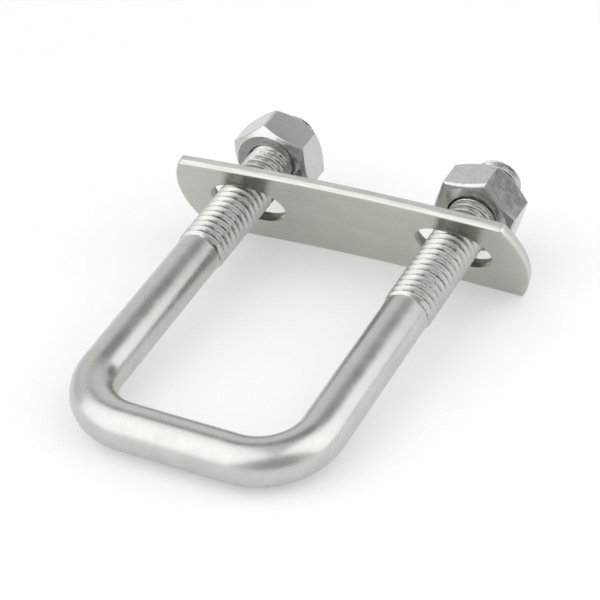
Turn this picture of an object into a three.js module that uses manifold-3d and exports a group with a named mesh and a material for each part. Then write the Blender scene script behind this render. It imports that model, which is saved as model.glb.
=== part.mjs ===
// Square-bend U-bolt with a slotted clamp plate and two hex nuts.
// Frame: X across the legs, Y along the legs from the bend to the threaded ends, Z square to the U.
// The origin is on the plate's clamping face, midway between the legs and level with their axes.
// Lengths are in millimetres.
import * as THREE from 'three';
import { mergeVertices } from 'three/addons/utils/BufferGeometryUtils.js';
import ManifoldModule from 'manifold-3d';

// U-bolt, M6 x 1.0. Distances called "reach" run along the legs from the bend's centreline.
const LEG_SPACING = 27.6;
const BEND_RADIUS = 7.05;
const SHANK_RADIUS = 2.74;
const PITCH = 1.0;
const CREST_RADIUS = 2.97;
const ROOT_RADIUS = 2.42;
const CREST_FLAT = PITCH / 8;
const ROOT_FLAT = PITCH / 4;
const THREAD_START_REACH = { left: 28.7, right: 27.5 };
const THREAD_RUN_OUT = 0.9;
const TIP_REACH = 55.2;
const TIP_CHAMFER = 0.6;

// Clamp plate, hanging loose on the legs and leaning towards the bend. Its middle hangs below
// the legs' axes, and its slots sit a little above its middle.
const PLATE_LENGTH = 45.3;
const PLATE_HEIGHT = 15.0;
const PLATE_THICKNESS = 1.35;
const PLATE_END_RADIUS = 16.05;
const PLATE_REACH = 40.575;
const PLATE_SHIFT_X = 0.375;
const PLATE_DROP = 0.825;
const PLATE_LEAN = THREE.MathUtils.degToRad(22);
const PLATE_TURN = THREE.MathUtils.degToRad(1.5);
const SLOT_LENGTH = 9.75;
const SLOT_HEIGHT = 7.425;
const SLOT_SPACING = 26.925;
const SLOT_RISE = 0.45;

// Hex nuts, of the standard 10 mm size at the low end of its tolerance across the flats.
const NUT_ACROSS_FLATS = 9.8;
const NUT_THICKNESS = 4.9;
const NUT_FACE_RADIUS = 4.46;
const NUT_CHAMFER_ANGLE = THREE.MathUtils.degToRad(32);
const NUT_COUNTERSINK_RADIUS = 3.22;
const THREAD_CLEARANCE = 0.1;
const TAP_OVERRUN = 0.8;
const SINK_OVERRUN = 0.4;
const NUTS = [
  { name: 'nut_left', side: -1, reach: 49.95, cornerAngle: THREE.MathUtils.degToRad(37) },
  { name: 'nut_right', side: 1, reach: 48.9, cornerAngle: THREE.MathUtils.degToRad(11) },
];

const SEGMENTS = 20;
const BEND_STEPS = 9;

const wasm = await ManifoldModule();
wasm.setup();
const { Manifold, Mesh } = wasm;

function material(name, color, roughness) {
  return new THREE.MeshStandardMaterial({ name, color, roughness, metalness: 1.0 });
}

const MATERIALS = {
  rod: material('satin_stainless', 0xb9b9b4, 0.36),
  plate: material('brushed_stainless', 0xb4b3ae, 0.42),
  nut: material('polished_stainless', 0xc4c4c2, 0.2),
};

// A mesh from a list of corner points, three to a triangle. Triangles with no area are dropped.
function closedGeometry(triangles) {
  const positions = [];
  const [ab, ac] = [new THREE.Vector3(), new THREE.Vector3()];
  for (const [a, b, c] of triangles) {
    ab.subVectors(b, a);
    ac.subVectors(c, a);
    if (ab.cross(ac).length() > 1e-7) {
      positions.push(...a.toArray(), ...b.toArray(), ...c.toArray());
    }
  }
  const geometry = new THREE.BufferGeometry();
  geometry.setAttribute('position', new THREE.Float32BufferAttribute(positions, 3));
  return mergeVertices(geometry, 1e-4);
}

function addQuad(triangles, a, b, c, d) {
  triangles.push([a, b, c], [a, c, d]);
}

// Ring point of a rod, at an angle counted from +Z towards the rod's sideways direction.
function ringPoint(centre, sideways, radius, angle) {
  return centre.clone()
    .addScaledVector(sideways, radius * Math.sin(angle))
    .add(new THREE.Vector3(0, 0, radius * Math.cos(angle)));
}

// The four corners of one thread ridge: distance along the axis, and radius.
function ridgeCorners(extra) {
  const flank = (PITCH - CREST_FLAT - ROOT_FLAT) / 2;
  return [
    { along: 0, radius: ROOT_RADIUS + extra },
    { along: ROOT_FLAT, radius: ROOT_RADIUS + extra },
    { along: ROOT_FLAT + flank, radius: CREST_RADIUS + extra },
    { along: ROOT_FLAT + flank + CREST_FLAT, radius: CREST_RADIUS + extra },
  ];
}

// Right-hand thread about an axis along +Y, as a tube open at its start and its end.
// limit(y, radius) gives the radius that is kept at y, and fixes both end rings.
function threadSurface(axisX, yStart, yEnd, extra, limit) {
  const corners = ridgeCorners(extra);
  const sideways = new THREE.Vector3(1, 0, 0);
  const first = Math.floor(yStart / PITCH) - 2;
  const last = Math.ceil(yEnd / PITCH) + 2;
  const column = (step) => {
    const angle = (2 * Math.PI * step) / SEGMENTS;
    const points = [];
    for (let turn = first; turn <= last; turn += 1) {
      for (const corner of corners) {
        const free = turn * PITCH + corner.along + (PITCH * step) / SEGMENTS;
        const y = THREE.MathUtils.clamp(free, yStart, yEnd);
        const radius = limit(y, corner.radius);
        points.push(ringPoint(new THREE.Vector3(axisX, y, 0), sideways, radius, angle));
      }
    }
    return points;
  };
  const triangles = [];
  for (let step = 0; step < SEGMENTS; step += 1) {
    const here = column(step);
    const next = column(step + 1);
    for (let row = 0; row + 1 < here.length; row += 1) {
      addQuad(triangles, here[row], next[row], next[row + 1], here[row + 1]);
    }
  }
  return triangles;
}

function discAt(axisX, y, radius, facing) {
  const sideways = new THREE.Vector3(1, 0, 0);
  const centre = new THREE.Vector3(axisX, y, 0);
  const triangles = [];
  for (let step = 0; step < SEGMENTS; step += 1) {
    const a = ringPoint(centre, sideways, radius, (2 * Math.PI * step) / SEGMENTS);
    const b = ringPoint(centre, sideways, radius, (2 * Math.PI * (step + 1)) / SEGMENTS);
    triangles.push(facing > 0 ? [centre, a, b] : [centre, b, a]);
  }
  return triangles;
}

function threadedEnd(axisX, start) {
  const tipRadius = CREST_RADIUS - TIP_CHAMFER;
  const limit = (y, radius) => {
    const rise = THREE.MathUtils.smoothstep(y, start, start + THREAD_RUN_OUT);
    const faded = SHANK_RADIUS + (radius - SHANK_RADIUS) * rise;
    const chamfered = tipRadius + Math.max(0, TIP_REACH - y);
    return Math.min(faded, chamfered);
  };
  const triangles = threadSurface(axisX, start, TIP_REACH, 0, limit);
  triangles.push(...discAt(axisX, TIP_REACH, tipRadius, 1));
  return triangles;
}

// Plain shank: from the right thread, round both bends, to the left thread.
function shankStations() {
  const half = LEG_SPACING / 2;
  const stations = [{ x: half, y: THREAD_START_REACH.right, out: 0 }];
  for (const side of [1, -1]) {
    for (let i = 0; i <= BEND_STEPS; i += 1) {
      const turn = ((side > 0 ? i : BEND_STEPS - i) / BEND_STEPS) * (Math.PI / 2);
      stations.push({
        x: side * (half - BEND_RADIUS + BEND_RADIUS * Math.cos(turn)),
        y: BEND_RADIUS - BEND_RADIUS * Math.sin(turn),
        out: side > 0 ? -turn : turn - Math.PI,
      });
    }
  }
  stations.push({ x: -half, y: THREAD_START_REACH.left, out: -Math.PI });
  return stations;
}

function shankSurface() {
  const rings = shankStations().map(({ x, y, out }) => {
    const outward = new THREE.Vector3(Math.cos(out), Math.sin(out), 0);
    const ring = [];
    for (let step = 0; step <= SEGMENTS; step += 1) {
      const angle = (2 * Math.PI * step) / SEGMENTS;
      ring.push(ringPoint(new THREE.Vector3(x, y, 0), outward, SHANK_RADIUS, angle));
    }
    return ring;
  });
  const triangles = [];
  for (let i = 0; i + 1 < rings.length; i += 1) {
    for (let step = 0; step < SEGMENTS; step += 1) {
      addQuad(triangles, rings[i + 1][step], rings[i + 1][step + 1], rings[i][step + 1], rings[i][step]);
    }
  }
  return triangles;
}

function uBoltGeometry() {
  return closedGeometry([
    ...shankSurface(),
    ...threadedEnd(LEG_SPACING / 2, THREAD_START_REACH.right),
    ...threadedEnd(-LEG_SPACING / 2, THREAD_START_REACH.left),
  ]);
}

function toManifold(geometry) {
  return new Manifold(new Mesh({
    numProp: 3,
    vertProperties: new Float32Array(geometry.getAttribute('position').array),
    triVerts: new Uint32Array(geometry.getIndex().array),
  }));
}

function fromManifold(solid) {
  const mesh = solid.getMesh();
  const geometry = new THREE.BufferGeometry();
  geometry.setAttribute('position', new THREE.Float32BufferAttribute(mesh.vertProperties, 3));
  geometry.setIndex([...mesh.triVerts]);
  return geometry;
}

// Solid of revolution about an axis along +Y; the profile is a list of [radius, y].
function turned(profile, axisX, segments) {
  const points = profile.map(([radius, y]) => new THREE.Vector2(radius, y));
  const lathe = new THREE.LatheGeometry(points, segments);
  lathe.translate(axisX, 0, 0);
  lathe.deleteAttribute('normal');
  lathe.deleteAttribute('uv');
  return toManifold(mergeVertices(lathe, 1e-4));
}

function nutGeometry({ side, reach, cornerAngle }) {
  const axisX = (side * LEG_SPACING) / 2;
  const front = reach - NUT_THICKNESS / 2;
  const back = reach + NUT_THICKNESS / 2;
  const cornerRadius = NUT_ACROSS_FLATS / Math.sqrt(3);
  const hexagon = [];
  for (let i = 0; i < 6; i += 1) {
    const angle = cornerAngle + (i * Math.PI) / 3;
    hexagon.push([cornerRadius * Math.cos(angle), cornerRadius * Math.sin(angle)]);
  }
  // Extruded along +Z, then laid over so that its height runs along +Y.
  const prism = Manifold.extrude([hexagon], NUT_THICKNESS)
    .rotate([90, 0, 0])
    .translate([axisX, back, 0]);
  const chamfer = (cornerRadius - NUT_FACE_RADIUS + 0.1) * Math.tan(NUT_CHAMFER_ANGLE);
  const cones = turned([
    [0, front], [NUT_FACE_RADIUS, front], [cornerRadius + 0.1, front + chamfer],
    [cornerRadius + 0.1, back - chamfer], [NUT_FACE_RADIUS, back], [0, back],
  ], axisX, 48);
  const ends = [front - TAP_OVERRUN, back + TAP_OVERRUN];
  const tapLimit = (y, radius) => (ends.includes(y) ? CREST_RADIUS : radius);
  const tap = toManifold(closedGeometry([
    ...threadSurface(axisX, ends[0], ends[1], THREAD_CLEARANCE, tapLimit),
    ...discAt(axisX, ends[0], CREST_RADIUS, -1),
    ...discAt(axisX, ends[1], CREST_RADIUS, 1),
  ]));
  const sinkDepth = NUT_COUNTERSINK_RADIUS - ROOT_RADIUS;
  const wide = NUT_COUNTERSINK_RADIUS + SINK_OVERRUN;
  const frontSink = turned([
    [0, front - SINK_OVERRUN], [wide, front - SINK_OVERRUN],
    [ROOT_RADIUS, front + sinkDepth], [0, front + sinkDepth],
  ], axisX, SEGMENTS * 2);
  const backSink = turned([
    [0, back - sinkDepth], [ROOT_RADIUS, back - sinkDepth],
    [wide, back + SINK_OVERRUN], [0, back + SINK_OVERRUN],
  ], axisX, SEGMENTS * 2);
  return fromManifold(prism.intersect(cones).subtract(tap).subtract(frontSink).subtract(backSink));
}

function plateGeometry() {
  const halfHeight = PLATE_HEIGHT / 2;
  const sweep = Math.asin(halfHeight / PLATE_END_RADIUS);
  const endCentre = PLATE_LENGTH / 2 - PLATE_END_RADIUS;
  const outline = new THREE.Shape();
  outline.absarc(endCentre, 0, PLATE_END_RADIUS, -sweep, sweep, false);
  outline.absarc(-endCentre, 0, PLATE_END_RADIUS, Math.PI - sweep, Math.PI + sweep, false);
  const slotRadius = SLOT_HEIGHT / 2;
  const slotHalf = SLOT_LENGTH / 2 - slotRadius;
  for (const side of [-1, 1]) {
    const centre = (side * SLOT_SPACING) / 2;
    const slot = new THREE.Path();
    slot.absarc(centre + slotHalf, SLOT_RISE, slotRadius, -Math.PI / 2, Math.PI / 2, false);
    slot.absarc(centre - slotHalf, SLOT_RISE, slotRadius, Math.PI / 2, (3 * Math.PI) / 2, false);
    outline.holes.push(slot);
  }
  const geometry = new THREE.ExtrudeGeometry(outline, {
    depth: PLATE_THICKNESS,
    bevelEnabled: false,
    curveSegments: 14,
  });
  // Stand the outline up in XZ, with the clamping face on y = 0 and the thickness behind it.
  geometry.rotateX(Math.PI / 2);
  geometry.translate(0, PLATE_THICKNESS, -PLATE_DROP);
  geometry.rotateX(PLATE_LEAN);
  geometry.rotateZ(PLATE_TURN);
  geometry.translate(PLATE_SHIFT_X, PLATE_REACH, 0);
  geometry.deleteAttribute('uv');
  geometry.deleteAttribute('normal');
  return mergeVertices(geometry, 1e-4);
}

// How far the clamping face is from the bend at x = 0, z = 0.
const ORIGIN_REACH = PLATE_REACH - PLATE_SHIFT_X * Math.tan(PLATE_TURN);

const group = new THREE.Group();
group.name = 'u_bolt_with_plate';

function addPart(name, geometry, partMaterial) {
  geometry.translate(0, -ORIGIN_REACH, 0);
  geometry.computeVertexNormals();
  const mesh = new THREE.Mesh(geometry, partMaterial);
  mesh.name = name;
  group.add(mesh);
}

addPart('u_bolt', uBoltGeometry(), MATERIALS.rod);
addPart('clamp_plate', plateGeometry(), MATERIALS.plate);
for (const nut of NUTS) {
  addPart(nut.name, nutGeometry(nut), MATERIALS.nut);
}

export default group;
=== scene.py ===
"""Square-bend U-bolt with a slotted clamp plate and two hex nuts: the visual model.

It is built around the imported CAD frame, in metres: X across the legs, Y along them from the
bend to the threaded ends, Z square to the U. The origin is on the plate's clamping face.
"""
import math

import bpy
import numpy as np
from mathutils import Matrix, Vector
from mathutils.geometry import delaunay_2d_cdt


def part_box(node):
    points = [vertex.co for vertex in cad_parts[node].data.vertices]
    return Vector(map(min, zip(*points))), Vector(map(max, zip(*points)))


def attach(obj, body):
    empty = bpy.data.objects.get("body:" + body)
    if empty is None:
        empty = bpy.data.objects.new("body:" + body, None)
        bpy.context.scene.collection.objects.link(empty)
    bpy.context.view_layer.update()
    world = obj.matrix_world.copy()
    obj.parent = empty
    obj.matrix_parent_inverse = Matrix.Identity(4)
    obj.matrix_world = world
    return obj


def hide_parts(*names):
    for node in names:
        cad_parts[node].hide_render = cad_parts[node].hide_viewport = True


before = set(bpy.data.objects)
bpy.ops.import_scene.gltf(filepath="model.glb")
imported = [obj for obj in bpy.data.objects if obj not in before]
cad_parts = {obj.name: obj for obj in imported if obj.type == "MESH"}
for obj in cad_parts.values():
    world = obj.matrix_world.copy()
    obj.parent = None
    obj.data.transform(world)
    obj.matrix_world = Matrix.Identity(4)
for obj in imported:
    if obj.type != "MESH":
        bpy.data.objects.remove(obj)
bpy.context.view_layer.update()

# The drawing unit, in metres: an eighth of the M6 rod's nominal diameter. Sizes are in it.
UNIT = 0.006 / 8
TAU = 2.0 * math.pi


def cad_box_units(node):
    """A CAD node's lowest and highest corner, in drawing units."""
    low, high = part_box(node)
    return np.array(low) / UNIT, np.array(high) / UNIT


ROD_LOW, ROD_HIGH = cad_box_units("u_bolt")
PLATE_LOW = cad_box_units("clamp_plate")[0]

# Rod, M6 x 1.0.
SHANK_R = 3.65
BEND_R = 9.4
PITCH = 0.001 / UNIT
CREST_R = 3.96
ROOT_R = 3.16
LEG_X = 18.4
BEND_Y = ROD_LOW[1] + SHANK_R
TIP_Y = ROD_HIGH[1]
THREAD_START_Y = {1: BEND_Y + 37.2, -1: BEND_Y + 38.8}
THREAD_RUN_OUT = 0.9
# Where each leg's thread has a root on its top side, a whole number of turns away.
THREAD_ORIGIN_Y = {1: BEND_Y + 0.05, -1: BEND_Y + 0.58}

# Plate, about the middle of its clamping face.
PLATE_LENGTH = 60.4
PLATE_HEIGHT = 20.0
PLATE_THICK = 1.8
PLATE_END_R = 21.4
PLATE_CORNER_R = 0.7
# The blanking tool shears the rim this deep from the front and tears the rest, further in.
SHEAR_DEPTH = 0.95
TORN_INSET = 0.1
PLATE_BOW = 0.8
PLATE_LEAN = math.radians(22)
PLATE_TURN = math.radians(1.5)
PLATE_SHIFT_X = 0.5
PLATE_DROP = 1.2
SLOT_LENGTH = 12.9
SLOT_HEIGHT = 9.8
SLOT_SPACING = 35.85
SLOT_RISE = 0.68

NUT_AF = 13.07
NUT_THICK = 6.53
# The radius at which the grain's coordinate round a nut is measured.
NUT_GRAIN_R = 6.5
# Extra outline places stand this far, in radians, beside each rounded corner.
CORNER_GUARD = 0.012


# ---------------------------------------------------------------- mesh helpers

def make_object(name, build, material, sharp, wrap=None):
    """A mesh object from a Builder; wrap is the grain's u for a full turn round a rod."""
    mesh = bpy.data.meshes.new(name)
    mesh.from_pydata((np.asarray(build.verts, float) * UNIT).tolist(), [], build.faces)
    mesh.validate()
    index = np.zeros(len(mesh.loops), np.int32)
    mesh.loops.foreach_get("vertex_index", index)
    grain = np.asarray(build.uvs, np.float32)[index]
    if wrap is not None:
        starts = np.zeros(len(mesh.polygons), np.int32)
        mesh.polygons.foreach_get("loop_start", starts)
        counts = np.diff(np.append(starts, len(index)))
        highest = np.repeat(np.maximum.reduceat(grain[:, 0], starts), counts)
        grain[:, 0] += np.where(grain[:, 0] < highest - wrap / 2, wrap, 0.0)
    mesh.uv_layers.new(name="grain").data.foreach_set("uv", grain.ravel())
    mark = mesh.attributes.new(name="mark", type="FLOAT", domain="POINT")
    mark.data.foreach_set("value", np.asarray(build.marks, np.float32))
    mesh.materials.append(material)
    mesh.shade_smooth()
    mesh.set_sharp_from_angle(angle=math.radians(sharp))
    mesh.update()
    obj = bpy.data.objects.new(name, mesh)
    bpy.context.scene.collection.objects.link(obj)
    return obj


class Builder:
    """Collects welded vertices, their grain coordinates and faces."""

    def __init__(self):
        self.verts, self.uvs, self.marks, self.faces, self.keys = [], [], [], [], {}

    def point(self, position, uv=(0.0, 0.0), mark=0.0):
        key = (round(position[0], 4), round(position[1], 4), round(position[2], 4))
        if key not in self.keys:
            self.keys[key] = len(self.verts)
            self.verts.append(tuple(position))
            self.uvs.append(uv)
            self.marks.append(mark)
        return self.keys[key]

    def face(self, *corners):
        loop = [c for i, c in enumerate(corners) if c != corners[i - 1]]
        if len(set(loop)) == len(loop) >= 3:
            self.faces.append(loop)

    def grid(self, rows, flip=False):
        """Quads between neighbouring rows of vertex numbers."""
        for low, high in zip(rows, rows[1:]):
            for i in range(len(low) - 1):
                quad = (low[i], high[i], high[i + 1], low[i + 1])
                self.face(*(quad[::-1] if flip else quad))


# ---------------------------------------------------------------- threads

def ridge_profile(crest, root, pitch):
    """One 60 degree thread ridge as (distance along the axis, radius), its corners worn round."""
    half = (
        (0.000, 0.000),
        (0.060, 0.010),
        (0.105, 0.045),
        (0.150, 0.135),
        (0.385, 0.850),
        (0.415, 0.925),
        (0.450, 0.980),
        (0.500, 1.000),
    )
    rising = [(along * pitch, root + rise * (crest - root)) for along, rise in half]
    falling = [(pitch - along, radius) for along, radius in rising[-2:0:-1]]
    return rising + falling


def thread_grid(build, side, y0, y1, profile, limit, depth_of, angles, flip=False):
    """A right-hand thread on one leg, open at both ends; depth_of marks its roots."""
    origin = THREAD_ORIGIN_Y[side]
    first = math.floor((y0 - origin) / PITCH) - 2
    last = math.ceil((y1 - origin) / PITCH) + 2
    columns = []
    for angle in angles:
        lift = PITCH * angle / TAU
        column = []
        for turn in range(first, last):
            for along, radius in profile:
                y = min(max(origin + turn * PITCH + along + lift, y0), y1)
                r = limit(y, radius)
                place = (side * LEG_X + r * math.sin(angle), y, r * math.cos(angle))
                column.append(build.point(place, (angle * SHANK_R, y), depth_of(r)))
        columns.append(column)
    build.grid(columns, flip)


def smoothstep(x, low, high):
    t = min(max((x - low) / (high - low), 0.0), 1.0)
    return t * t * (3.0 - 2.0 * t)


# ---------------------------------------------------------------- U-bolt

ROD_ANGLES = np.linspace(-math.pi, math.pi, 73)
START_GUARD = 0.08


def rod_path():
    """Centreline stations of the plain shank: x, y and the angle of the outward direction."""
    corner_x, corner_y = LEG_X - BEND_R, BEND_Y + BEND_R
    stations = []
    # A ring close beside each thread's start keeps the shank's shading round.
    right_leg = [THREAD_START_Y[1]]
    right_leg.extend(np.linspace(THREAD_START_Y[1] - START_GUARD, corner_y, 14)[:-1])
    left_leg = list(np.linspace(corner_y, THREAD_START_Y[-1] - START_GUARD, 14)[1:])
    left_leg.append(THREAD_START_Y[-1])
    bend = np.linspace(0.0, math.pi / 2, 22)
    crown = np.linspace(corner_x, -corner_x, 14)[1:-1]
    for y in right_leg:
        stations.append((LEG_X, y, 0.0))
    for a in bend:
        x, y = corner_x + BEND_R * math.cos(a), corner_y - BEND_R * math.sin(a)
        stations.append((x, y, -a))
    for x in crown:
        stations.append((x, BEND_Y, -math.pi / 2))
    for a in bend[::-1]:
        x, y = -corner_x - BEND_R * math.cos(a), corner_y - BEND_R * math.sin(a)
        stations.append((x, y, a - math.pi))
    for y in left_leg:
        stations.append((-LEG_X, y, -math.pi))
    return stations


def build_u_bolt(material):
    build = Builder()
    tip_r = CREST_R - 0.8
    profile = ridge_profile(CREST_R, ROOT_R, PITCH)

    def depth_of(radius):
        return 0.12 + 0.88 * min(max((CREST_R - radius) / (CREST_R - ROOT_R), 0.0), 1.0)

    tip_rings = (
        (tip_r, 0.0), (2.9, 0.0), (2.5, 0.05), (1.6, 0.22), (0.7, 0.3), (0.0, 0.32),
    )
    for side, start_y in THREAD_START_Y.items():
        def limit(y, radius):
            rise = smoothstep(y, start_y, start_y + THREAD_RUN_OUT)
            faded = SHANK_R + (radius - SHANK_R) * rise
            return min(faded, tip_r + max(0.0, TIP_Y - y))

        thread_grid(build, side, start_y, TIP_Y, profile, limit, depth_of, ROD_ANGLES)
        rings = []
        for radius, dip in tip_rings:
            ring = []
            for angle in ROD_ANGLES:
                place = (side * LEG_X + radius * math.sin(angle), TIP_Y - dip, radius * math.cos(angle))
                ring.append(build.point(place, (radius, angle)))
            rings.append(ring)
        build.grid(rings, flip=True)
    rings, travelled, previous = [], 0.0, None
    for x, y, out in rod_path():
        if previous is not None:
            travelled += math.hypot(x - previous[0], y - previous[1])
        previous = (x, y)
        ring = []
        for angle in ROD_ANGLES:
            place = (
                x + SHANK_R * math.sin(angle) * math.cos(out),
                y + SHANK_R * math.sin(angle) * math.sin(out),
                SHANK_R * math.cos(angle),
            )
            ring.append(build.point(place, (angle * SHANK_R, travelled)))
        rings.append(ring)
    build.grid(rings)
    return make_object("u_bolt_rod", build, material, 40, TAU * SHANK_R)


# ---------------------------------------------------------------- clamp plate

def arc(cx, cz, r, a0, a1, n):
    """Places on a circle as (x, z, normal x, normal z)."""
    return [
        (cx + r * math.cos(a), cz + r * math.sin(a), math.cos(a), math.sin(a))
        for a in np.linspace(a0, a1, n)
    ]


def plate_outline():
    """Anticlockwise outline as (x, z, normal x, normal z), with small round corners."""
    half_h, centre = PLATE_HEIGHT / 2, PLATE_LENGTH / 2 - PLATE_END_R
    r = PLATE_CORNER_R
    # The corner circle touches the long edge and the end arc from the inside.
    corner_z = half_h - r
    corner_x = centre + math.sqrt((PLATE_END_R - r) ** 2 - corner_z ** 2)
    sweep = math.atan2(corner_z, corner_x - centre)
    points = []
    for turn in (0.0, math.pi):
        part = arc(centre, 0, PLATE_END_R, -sweep, sweep, 48)
        part += arc(corner_x, corner_z, r, sweep, math.pi / 2, 8)[1:]
        xs = np.linspace(corner_x, -corner_x, 42)[1:-1]
        part += [(x, half_h, 0.0, 1.0) for x in xs]
        part += arc(-corner_x, corner_z, r, math.pi / 2, math.pi - sweep, 8)[:-1]
        c, s = math.cos(turn), math.sin(turn)
        points += [
            (x * c - z * s, x * s + z * c, nx * c - nz * s, nx * s + nz * c)
            for x, z, nx, nz in part
        ]
    return points


def slot_outline(centre):
    """Clockwise outline, with normals that point out of the metal into the slot."""
    r = SLOT_HEIGHT / 2
    half = SLOT_LENGTH / 2 - r
    loop = arc(centre + half, SLOT_RISE, r, -math.pi / 2, math.pi / 2, 36)
    loop += arc(centre - half, SLOT_RISE, r, math.pi / 2, 1.5 * math.pi, 36)
    return [(x, z, -nx, -nz) for x, z, nx, nz in reversed(loop)]


def slot_distance(x, z):
    """Distance from a place on the plate to the middle line of the nearer slot."""
    beyond = max(abs(abs(x) - SLOT_SPACING / 2) - (SLOT_LENGTH - SLOT_HEIGHT) / 2, 0.0)
    return math.hypot(beyond, z - SLOT_RISE)


def build_plate(material):
    build = Builder()
    bend = Matrix.Rotation(PLATE_TURN, 3, "Z") @ Matrix.Rotation(PLATE_LEAN, 3, "X")
    origin = Vector((PLATE_SHIFT_X, PLATE_SHIFT_X * math.tan(PLATE_TURN), 0.0))

    def place(x, z, depth):
        bowed = depth - PLATE_BOW * (x / (PLATE_LENGTH / 2)) ** 2 + PLATE_BOW * 0.35
        return tuple(bend @ Vector((x, bowed, z - PLATE_DROP)) + origin)

    def rim_mark(depth, front_r, back_r):
        """0 on the broad faces, 0.5 on the rim's sheared band and 1 on its torn band."""
        if depth < front_r * 0.9 or depth > PLATE_THICK - back_r * 0.9:
            return 0.0
        return 0.5 if depth < SHEAR_DEPTH else 1.0

    def vertex(x, z, depth, rim=0.0):
        return build.point(place(x, z, depth), (x, z), rim)

    loops = [(plate_outline(), 0.24, 0.16)]
    loops += [(slot_outline(side * SLOT_SPACING / 2), 0.12, 0.12) for side in (-1, 1)]
    face_loops = {"front": [], "back": []}
    for points, front_r, back_r in loops:
        stations = []
        for k in range(5):
            a = k / 4 * math.pi / 2
            stations.append((front_r * (1 - math.sin(a)), front_r * (1 - math.cos(a))))
        for inset, past_shear in ((0.0, -0.08), (0.0, -0.02), (0.02, 0.01), (0.03, 0.05)):
            stations.append((inset, SHEAR_DEPTH + past_shear))
        for k in range(5):
            a = k / 4 * math.pi / 2
            inset = TORN_INSET + back_r * (1 - math.cos(a))
            stations.append((inset, PLATE_THICK - back_r * (1 - math.sin(a))))
        rows = []
        for inset, depth in stations:
            rim = rim_mark(depth, front_r, back_r)
            ring = [vertex(x - nx * inset, z - nz * inset, depth, rim) for x, z, nx, nz in points]
            rows.append(ring + ring[:1])
        build.grid(rows)
        face_loops["front"].append([(x - nx * front_r, z - nz * front_r) for x, z, nx, nz in points])
        inset = TORN_INSET + back_r
        face_loops["back"].append([(x - nx * inset, z - nz * inset) for x, z, nx, nz in points])
    grid = [(x, z) for x in np.arange(-29.0, 29.5, 1.0) for z in np.arange(-9.0, 9.5, 1.5)]
    for side, depth in (("front", 0.0), ("back", PLATE_THICK)):
        coords, faces = [], []
        for loop in face_loops[side]:
            start = len(coords)
            coords += [Vector(p) for p in loop]
            faces.append(list(range(start, len(coords))))
        outer = face_loops[side][0]
        inner = []
        for x, z in grid:
            reach = max(abs(x) - (PLATE_LENGTH / 2 - PLATE_END_R), 0.0)
            in_outline = math.hypot(reach, z) < PLATE_END_R - 0.9 and abs(z) < PLATE_HEIGHT / 2 - 0.7
            if in_outline and slot_distance(x, z) > SLOT_HEIGHT / 2 + 0.5:
                inner.append(Vector((x, z)))
        out = delaunay_2d_cdt(coords + inner, [], faces, 2, 1e-5)
        for tri in out[2]:
            centre = sum((out[0][i] for i in tri), Vector((0, 0))) / len(tri)
            if slot_distance(centre.x, centre.y) < SLOT_HEIGHT / 2:
                continue
            corners = [vertex(out[0][i].x, out[0][i].y, depth) for i in tri]
            build.face(*(corners if side == "front" else corners[::-1]))
    return make_object("clamp_plate_bar", build, material, 50)


# ---------------------------------------------------------------- nuts

def hexagon(corner, rounding):
    """Directions round the nut, from +Z towards +X, and the distance to its outline in each.

    corner is the first corner's direction from +X towards +Z; rounding has a radius per corner.
    """
    apothem = NUT_AF / 2
    sixth, half = math.pi / 3, math.pi / 6
    edges = [math.atan2(r / 2, (apothem - r) / math.cos(half) + r * math.cos(half)) for r in rounding]
    outline = []
    for i, r in enumerate(rounding):
        middle = (apothem - r) / math.cos(half)
        for turn in np.linspace(-edges[i], edges[i], 6):
            reach = middle * math.cos(turn) + math.sqrt(r * r - (middle * math.sin(turn)) ** 2)
            outline.append((corner + i * sixth + turn, reach))
        first = edges[i] + CORNER_GUARD
        last = sixth - edges[(i + 1) % 6] - CORNER_GUARD
        for turn in np.linspace(first, last, 7):
            outline.append((corner + i * sixth + turn, apothem / math.cos(turn - half)))
    outline.append((outline[0][0] + TAU, outline[0][1]))
    return [(math.pi / 2 - turn, reach) for turn, reach in reversed(outline)]


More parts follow.
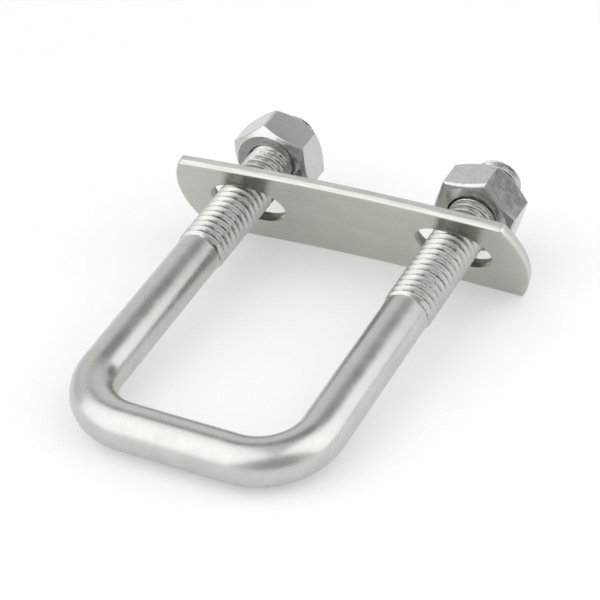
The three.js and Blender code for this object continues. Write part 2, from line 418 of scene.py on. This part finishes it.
def build_nut(name, side, y_faces, corner_deg, rounding, chamfers, softness, material):
    """chamfers: front and back as (face radius, slope in degrees); softness rounds their edges."""
    build = Builder()
    axis_x = side * LEG_X
    y_front, y_back = y_faces
    outline = hexagon(math.radians(corner_deg), rounding)
    sink_r, minor_r, major_r = 4.3, 3.28, 4.08

    def ring(radius_of, y_of):
        row = []
        for angle, reach in outline:
            r = radius_of(reach)
            place = (axis_x + r * math.sin(angle), y_of(r), r * math.cos(angle))
            row.append(build.point(place, (angle * NUT_GRAIN_R, y_of(r))))
        return row

    def half_shell(y_face, inward, face_r, slope):
        """Rings from the countersink over the face, the chamfer and its soft edge to the flats."""
        tilt = math.radians(slope)

        def cone(r):
            return y_face + inward * max(0.0, r - face_r) * math.tan(tilt)

        rings = [ring(lambda reach, r=r: r, cone) for r in (sink_r, sink_r + 0.4, face_r - 0.1, face_r)]
        for k in (0.34, 0.67, 1.0):
            rings.append(ring(lambda reach: face_r + (reach - softness - face_r) * k, cone))
        span = math.pi / 2 - tilt
        for k in (0.33, 0.67, 1.0):
            along = softness * (1.0 - math.sin(span * (1 - k)) / math.sin(span))
            drop = softness * math.tan(tilt) + softness * 0.6 * k * k
            rings.append(ring(
                lambda reach: reach - softness + along,
                lambda r: cone(r) + inward * (drop - softness * math.tan(tilt)),
            ))
        rings.append(ring(lambda reach: reach, lambda r: cone(r) + inward * softness * 0.9))
        return rings

    front, back = half_shell(y_front, 1, *chamfers[0]), half_shell(y_back, -1, *chamfers[1])
    build.grid(front + back[::-1], flip=True)

    def limit(y, radius):
        sink = max(sink_r - (y - y_front), sink_r - (y_back - y))
        return max(radius, sink)

    def depth_of(radius):
        return min(max((radius - minor_r) / (major_r - minor_r), 0.0), 1.0)

    profile = ridge_profile(major_r, minor_r, PITCH)
    angles = [angle for angle, reach in outline]
    thread_grid(build, side, y_front, y_back, profile, limit, depth_of, angles, flip=True)
    return make_object(name, build, material, 24, TAU * NUT_GRAIN_R)


# ---------------------------------------------------------------- materials

def ramp(nodes, links, value, start, end, low=0.0, high=1.0):
    """A smooth step from low to high while value goes from start to end."""
    node = nodes.new("ShaderNodeMapRange")
    node.interpolation_type = "SMOOTHSTEP"
    node.inputs["From Min"].default_value = start
    node.inputs["From Max"].default_value = end
    node.inputs["To Min"].default_value = low
    node.inputs["To Max"].default_value = high
    links.new(value, node.inputs["Value"])
    return node.outputs["Result"]


def blend(nodes, links, factor, first, second):
    """Mix of two levels, each a number or a socket."""
    node = nodes.new("ShaderNodeMix")
    links.new(factor, node.inputs["Factor"])
    for key, value in (("A", first), ("B", second)):
        if isinstance(value, float):
            node.inputs[key].default_value = value
        else:
            links.new(value, node.inputs[key])
    return node.outputs["Result"]


class Metal:
    """A metal's node tree, with short names for the nodes that every finish here uses."""

    def __init__(self, name):
        self.material = bpy.data.materials.new(name)
        self.material.use_nodes = True
        self.nodes, self.links = self.material.node_tree.nodes, self.material.node_tree.links
        self.nodes.clear()
        out = self.nodes.new("ShaderNodeOutputMaterial")
        self.shader = self.nodes.new("ShaderNodeBsdfPrincipled")
        self.shader.inputs["Metallic"].default_value = 1.0
        self.links.new(self.shader.outputs["BSDF"], out.inputs["Surface"])
        in_units = self.nodes.new("ShaderNodeVectorMath")
        in_units.operation = "SCALE"
        in_units.inputs["Scale"].default_value = 1.0 / UNIT
        metres = self.nodes.new("ShaderNodeTexCoord").outputs["Object"]
        self.links.new(metres, in_units.inputs[0])
        self.where = in_units.outputs["Vector"]
        grain = self.nodes.new("ShaderNodeUVMap")
        grain.uv_map = "grain"
        self.grain = grain.outputs["UV"]
        mark = self.nodes.new("ShaderNodeAttribute")
        mark.attribute_name = "mark"
        self.mark = mark.outputs["Fac"]

    def noise(self, coords, stretch, detail=3.0, rough=0.5):
        """Noise whose cells number stretch per unit of each coordinate."""
        mapping = self.nodes.new("ShaderNodeMapping")
        mapping.inputs["Scale"].default_value = stretch
        self.links.new(coords, mapping.inputs["Vector"])
        tex = self.nodes.new("ShaderNodeTexNoise")
        tex.inputs["Scale"].default_value = 1.0
        tex.inputs["Detail"].default_value = detail
        tex.inputs["Roughness"].default_value = rough
        self.links.new(mapping.outputs["Vector"], tex.inputs["Vector"])
        return tex.outputs["Fac"]

    def ramp(self, value, start, end, low=0.0, high=1.0):
        return ramp(self.nodes, self.links, value, start, end, low, high)

    def math(self, operation, first, second):
        node = self.nodes.new("ShaderNodeMath")
        node.operation = operation
        for socket, value in zip(node.inputs, (first, second)):
            if isinstance(value, float):
                socket.default_value = value
            else:
                self.links.new(value, socket)
        return node.outputs["Value"]

    def blend(self, factor, first, second):
        return blend(self.nodes, self.links, factor, first, second)

    def tint(self, factor, first, second):
        """Mix of two colours, each a triple or a socket."""
        node = self.nodes.new("ShaderNodeMix")
        node.data_type = "RGBA"
        self.links.new(factor, node.inputs["Factor"])
        for key, value in (("A", first), ("B", second)):
            if isinstance(value, tuple):
                node.inputs[key].default_value = (*value, 1.0)
            else:
                self.links.new(value, node.inputs[key])
        return node.outputs["Result"]

    def relief(self, layers):
        """Bumps from (height, strength, depth in drawing units) layers."""
        normal = None
        for height, strength, depth in layers:
            node = self.nodes.new("ShaderNodeBump")
            node.inputs["Strength"].default_value = strength
            node.inputs["Distance"].default_value = depth * UNIT
            self.links.new(height, node.inputs["Height"])
            if normal is not None:
                self.links.new(normal, node.inputs["Normal"])
            normal = node.outputs["Normal"]
        self.links.new(normal, self.shader.inputs["Normal"])

    def brushed(self, amount, turn):
        """Longer highlights across the brushing; turn 0 stretches them along the grain's u."""
        self.shader.inputs["Anisotropic"].default_value = amount
        self.shader.inputs["Anisotropic Rotation"].default_value = turn
        tangent = self.nodes.new("ShaderNodeTangent")
        tangent.direction_type = "UV_MAP"
        tangent.uv_map = "grain"
        self.links.new(tangent.outputs["Tangent"], self.shader.inputs["Tangent"])

    def finish(self, color, roughness):
        self.links.new(color, self.shader.inputs["Base Color"])
        self.links.new(roughness, self.shader.inputs["Roughness"])
        return self.material


def rod_metal():
    """Satin drawn bar: streaks along it, faint stains, and painted shade in the roots of the threads,
    with some real residue there.
    """
    metal = Metal("satin_stainless_rod")
    streaks = metal.noise(metal.grain, (5.0, 0.35, 1.0), 4.0, 0.6)
    sand = metal.noise(metal.where, (3.6, 3.6, 3.6), 2.0)
    stains = metal.noise(metal.where, (0.33, 0.33, 0.33), 4.0, 0.6)
    smears = metal.noise(metal.grain, (1.6, 0.5, 1.0), 3.0, 0.6)
    color = metal.tint(metal.ramp(stains, 0.3, 0.7), (0.535, 0.525, 0.505), (0.585, 0.573, 0.548))
    color = metal.tint(metal.ramp(smears, 0.58, 0.74, 0.0, 0.35), color, (0.44, 0.43, 0.42))
    # Painted shade: the thread roots are darkened towards their bottoms, standing in for the shade deep
    # in the grooves, with some real residue; a noise breaks up its edge.
    root_shade_edge_noise = metal.noise(metal.where, (1.5, 1.5, 1.5), 3.0, 0.6)
    depth = metal.math("ADD", metal.mark, metal.ramp(root_shade_edge_noise, 0.25, 0.75, -0.2, 0.2))
    root_shade_and_residue = metal.ramp(depth, 0.72, 1.02)
    color = metal.tint(root_shade_and_residue, color, (0.13, 0.127, 0.11))
    rough = metal.ramp(stains, 0.25, 0.75, 0.235, 0.29)
    threaded = metal.ramp(metal.mark, 0.0, 0.1)
    rough = metal.blend(threaded, rough, 0.19)
    rough = metal.blend(root_shade_and_residue, rough, 0.5)
    nicks = metal.math("MULTIPLY", metal.noise(metal.where, (2.2, 2.2, 2.2), 3.0, 0.6), threaded)
    metal.brushed(0.35, 0.0)
    metal.relief(((streaks, 0.25, 0.02), (sand, 0.2, 0.012), (nicks, 0.5, 0.05)))
    return metal.finish(color, rough)


def plate_metal():
    """Plate brushed along its length, with a rougher sheared rim."""
    metal = Metal("brushed_stainless_plate")
    hairs = metal.noise(metal.grain, (0.14, 11.0, 1.0), 5.0, 0.65)
    broad = metal.noise(metal.grain, (0.12, 0.25, 1.0), 2.0)
    drag = metal.noise(metal.where, (0.22, 5.0, 5.0), 3.0, 0.6)
    grit = metal.noise(metal.where, (2.6, 2.6, 2.6), 2.0, 0.6)
    rim = metal.ramp(metal.mark, 0.2, 0.45)
    torn = metal.ramp(metal.mark, 0.6, 0.9)
    color = metal.tint(metal.ramp(broad, 0.3, 0.7), (0.535, 0.524, 0.483), (0.575, 0.563, 0.52))
    color = metal.tint(metal.ramp(hairs, 0.25, 0.75, 0.0, 0.5), color, (0.495, 0.484, 0.446))
    sheared = metal.tint(metal.ramp(drag, 0.3, 0.7), (0.52, 0.51, 0.48), (0.68, 0.668, 0.63))
    ragged = metal.tint(metal.ramp(drag, 0.3, 0.7), (0.45, 0.443, 0.425), (0.60, 0.59, 0.565))
    color = metal.tint(rim, color, metal.tint(torn, sheared, ragged))
    rough = metal.ramp(hairs, 0.25, 0.75, 0.23, 0.3)
    rough = metal.blend(rim, rough, metal.blend(torn, 0.3, 0.45))
    metal.brushed(0.8, 0.25)
    metal.relief((
        (hairs, 0.25, 0.012),
        (metal.math("MULTIPLY", drag, rim), 0.5, 0.04),
        (metal.math("MULTIPLY", grit, torn), 0.45, 0.04),
    ))
    return metal.finish(color, rough)


def nut_metal(name, dull):
    """Bright nut; dull adds tumbling marks and a softer shine."""
    metal = Metal(name)
    clouds = metal.noise(metal.where, (0.7, 0.7, 0.7), 4.0, 0.6)
    dents = metal.noise(metal.where, (1.5, 1.5, 1.5), 3.0, 0.6)
    color = metal.tint(metal.ramp(clouds, 0.3, 0.7), (0.53, 0.53, 0.525), (0.57, 0.57, 0.565))
    color = metal.tint(metal.ramp(dents, 0.5, 0.75, 0.0, 0.6 * dull), color, (0.36, 0.36, 0.35))
    # Painted shade: the roots of the inner thread are darkened by their depth, standing in for the
    # shade deep in the grooves.
    color = metal.tint(metal.ramp(metal.mark, 0.5, 0.95), color, (0.16, 0.157, 0.14))
    rough = metal.ramp(clouds, 0.25, 0.75, 0.09 + 0.06 * dull, 0.13 + 0.12 * dull)
    metal.relief(((dents, 0.08 + 0.2 * dull, 0.02),))
    return metal.finish(color, rough)


# ---------------------------------------------------------------- the object

rod = build_u_bolt(rod_metal())
plate = build_plate(plate_metal())
NUT_LEFT_Y, NUT_RIGHT_Y = BEND_Y + 66.6, BEND_Y + 65.2
nut_left = build_nut(
    "nut_left_body",
    -1,
    y_faces=(NUT_LEFT_Y - NUT_THICK / 2, NUT_LEFT_Y + NUT_THICK / 2 + 0.2),
    corner_deg=37,
    rounding=(0.15, 0.6, 0.3, 0.3, 0.3, 0.25),
    chamfers=((5.95, 32), (6.15, 40)),
    softness=0.15,
    material=nut_metal("bright_nut", 0.0),
)
nut_right = build_nut(
    "nut_right_body",
    1,
    y_faces=(NUT_RIGHT_Y - NUT_THICK / 2, NUT_RIGHT_Y + NUT_THICK / 2),
    corner_deg=11,
    rounding=(0.25, 0.2, 0.3, 0.3, 0.3, 0.25),
    chamfers=((6.0, 25), (6.0, 32)),
    softness=0.34,
    material=nut_metal("tumbled_nut", 1.0),
)

for piece, node, slot in (
    (rod, "u_bolt", "satin_stainless"),
    (plate, "clamp_plate", "brushed_stainless"),
    (nut_left, "nut_left", "polished_stainless"),
    (nut_right, "nut_right", "polished_stainless"),
):
    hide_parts(node)
    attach(piece, node)

# ---------------------------------------------------------------- floor, camera, light

# The U-bolt lies on its bend and on the plate's lower edge, so the floor slopes under it.
REST_FRONT = Vector((0.0, BEND_Y, ROD_LOW[2]))
REST_BACK_Y, REST_BACK_Z = 4.6, PLATE_LOW[2]
slope = math.atan2(REST_BACK_Z - REST_FRONT.z, REST_BACK_Y - REST_FRONT.y)
FLOOR_HALF = 900.0
FLOOR_GAP = 0.05
floor_verts = []
for across, along in ((-1, -1), (1, -1), (1, 1), (-1, 1)):
    x, y = across * FLOOR_HALF * UNIT, along * FLOOR_HALF * UNIT
    floor_verts.append((x, y * math.cos(slope), y * math.sin(slope)))
floor_mesh = bpy.data.meshes.new("floor")
floor_mesh.from_pydata(floor_verts, [], [(0, 1, 2, 3)])
floor = bpy.data.objects.new("floor", floor_mesh)
floor.location = REST_FRONT * UNIT - Vector((0, 0, FLOOR_GAP)) * UNIT
bpy.context.scene.collection.objects.link(floor)
floor_material = bpy.data.materials.new("pale_floor")
floor_material.use_nodes = True
floor_shader = floor_material.node_tree.nodes["Principled BSDF"]
floor_shader.inputs["Base Color"].default_value = (0.62, 0.62, 0.62, 1)
floor_shader.inputs["Roughness"].default_value = 0.9
floor_shader.inputs["Emission Color"].default_value = (1, 1, 1, 1)
floor_shader.inputs["Emission Strength"].default_value = 0.32
floor_mesh.materials.append(floor_material)

CAMERA_AZIMUTH, CAMERA_ELEVATION, CAMERA_ROLL = (math.radians(a) for a in (31.41, 39.58, -6.84))
CAMERA_TARGET = Vector((10.69, -33.99, 14.0)) * UNIT
CAMERA_DISTANCE = 320.05 * UNIT
CAMERA_LENS_MM = 134.35
camera_data = bpy.data.cameras.new("camera")
camera_data.sensor_width = 36.0
camera_data.lens = CAMERA_LENS_MM
camera_data.clip_start, camera_data.clip_end = 0.01, 10.0
camera = bpy.data.objects.new("camera", camera_data)
bpy.context.scene.collection.objects.link(camera)
back = Vector((
    math.sin(CAMERA_AZIMUTH) * math.cos(CAMERA_ELEVATION),
    -math.cos(CAMERA_AZIMUTH) * math.cos(CAMERA_ELEVATION),
    math.sin(CAMERA_ELEVATION),
))
level = Vector((math.cos(CAMERA_AZIMUTH), math.sin(CAMERA_AZIMUTH), 0.0))
upright = back.cross(level)
right = level * math.cos(CAMERA_ROLL) + upright * math.sin(CAMERA_ROLL)
up = upright * math.cos(CAMERA_ROLL) - level * math.sin(CAMERA_ROLL)
place = CAMERA_TARGET + back * CAMERA_DISTANCE
camera.matrix_world = Matrix((
    (right.x, up.x, back.x, place.x),
    (right.y, up.y, back.y, place.y),
    (right.z, up.z, back.z, place.z),
    (0, 0, 0, 1),
))
bpy.context.scene.camera = camera

WALL_LEVEL, DIM_WALL_LEVEL, DARK_WALL_LEVEL = 0.8, 0.44, 0.26
# A dark gap between the lamps, over the back wall, and the tilt of its lower edge.
GAP_LEVEL = 0.3
GAP_TILT = (0.1, -0.5, 1.0)
LAMP_AIM = Vector((0.0, -20.0, 0.0)) * UNIT


def compass(azimuth, elevation):
    """Unit vector towards a compass direction: azimuth 0 is the bend's side, 90 the right."""
    a, e = math.radians(azimuth), math.radians(elevation)
    return Vector((math.sin(a) * math.cos(e), -math.cos(a) * math.cos(e), math.sin(e)))


def studio_world():
    """Pale walls, brighter on the front left, dimmer on the front right and high at the back."""
    world = bpy.data.worlds.new("studio")
    bpy.context.scene.world = world
    world.use_nodes = True
    nodes, links = world.node_tree.nodes, world.node_tree.links
    where = nodes.new("ShaderNodeTexCoord").outputs["Generated"]
    split = nodes.new("ShaderNodeSeparateXYZ")
    links.new(where, split.inputs["Vector"])

    def along(direction):
        facing = nodes.new("ShaderNodeVectorMath")
        facing.operation = "DOT_PRODUCT"
        facing.inputs[1].default_value = direction
        links.new(where, facing.inputs[0])
        return facing.outputs["Value"]

    def around(direction, inner, outer):
        outer_cos, inner_cos = math.cos(math.radians(outer)), math.cos(math.radians(inner))
        return ramp(nodes, links, along(direction), outer_cos, inner_cos)

    def times(first, second):
        product = nodes.new("ShaderNodeMath")
        product.operation = "MULTIPLY"
        links.new(first, product.inputs[0])
        links.new(second, product.inputs[1])
        return product.outputs["Value"]

    level = blend(nodes, links, around(compass(-47, 40), 12, 46), WALL_LEVEL, WALL_LEVEL + 0.24)
    level = blend(nodes, links, around(compass(-143, 26), 15, 40), level, WALL_LEVEL + 0.12)
    level = blend(nodes, links, around(compass(39, 22), 12, 38), level, DIM_WALL_LEVEL)
    level = blend(nodes, links, around(compass(150, 12), 11, 17), level, DARK_WALL_LEVEL)
    upward = along(GAP_TILT)
    gap_sides = (
        (split.outputs["X"], 0.32, 0.46, 1.0, 0.0),
        (split.outputs["Y"], 0.28, 0.42, 0.0, 1.0),
        (upward, 0.345, 0.405, 0.0, 1.0),
    )
    inside = None
    for value, start, end, low, high in gap_sides:
        side = ramp(nodes, links, value, start, end, low, high)
        inside = side if inside is None else times(inside, side)
    level = blend(nodes, links, inside, level, GAP_LEVEL)
    links.new(level, nodes["Background"].inputs["Strength"])
    nodes["Background"].inputs["Color"].default_value = (1.0, 1.0, 1.0, 1.0)


def soft_box(name, azimuth, elevation, roll, spread, radiance, distance):
    """A rectangular lamp that faces the object; spread is its half sides over its distance."""
    distance *= UNIT
    data = bpy.data.lights.new(name, "AREA")
    data.shape = "RECTANGLE"
    data.size, data.size_y = 2 * spread[0] * distance, 2 * spread[1] * distance
    data.energy = math.pi * data.size * data.size_y * radiance
    light = bpy.data.objects.new(name, data)
    out = compass(azimuth, elevation)
    level = Vector((math.cos(math.radians(azimuth)), math.sin(math.radians(azimuth)), 0.0))
    tall = out.cross(level)
    turn = math.radians(roll)
    x_axis = level * math.cos(turn) + tall * math.sin(turn)
    y_axis = tall * math.cos(turn) - level * math.sin(turn)
    spot = LAMP_AIM + out * distance
    light.matrix_world = Matrix((
        (x_axis.x, y_axis.x, out.x, spot.x),
        (x_axis.y, y_axis.y, out.y, spot.y),
        (x_axis.z, y_axis.z, out.z, spot.z),
        (0, 0, 0, 1),
    ))
    light.visible_camera = False
    bpy.context.scene.collection.objects.link(light)


studio_world()
soft_box("front_left_soft_box", -47, 48.5, 0, (0.70, 0.75), 0.69, 800)
soft_box("front_left_low_soft_box", -47, 5.5, 0, (0.70, 0.107), 0.5, 800)
soft_box("back_right_soft_box", 105, 39, 3, (0.52, 0.71), 0.9, 280)
bpy.context.scene.view_settings.view_transform = "Standard"
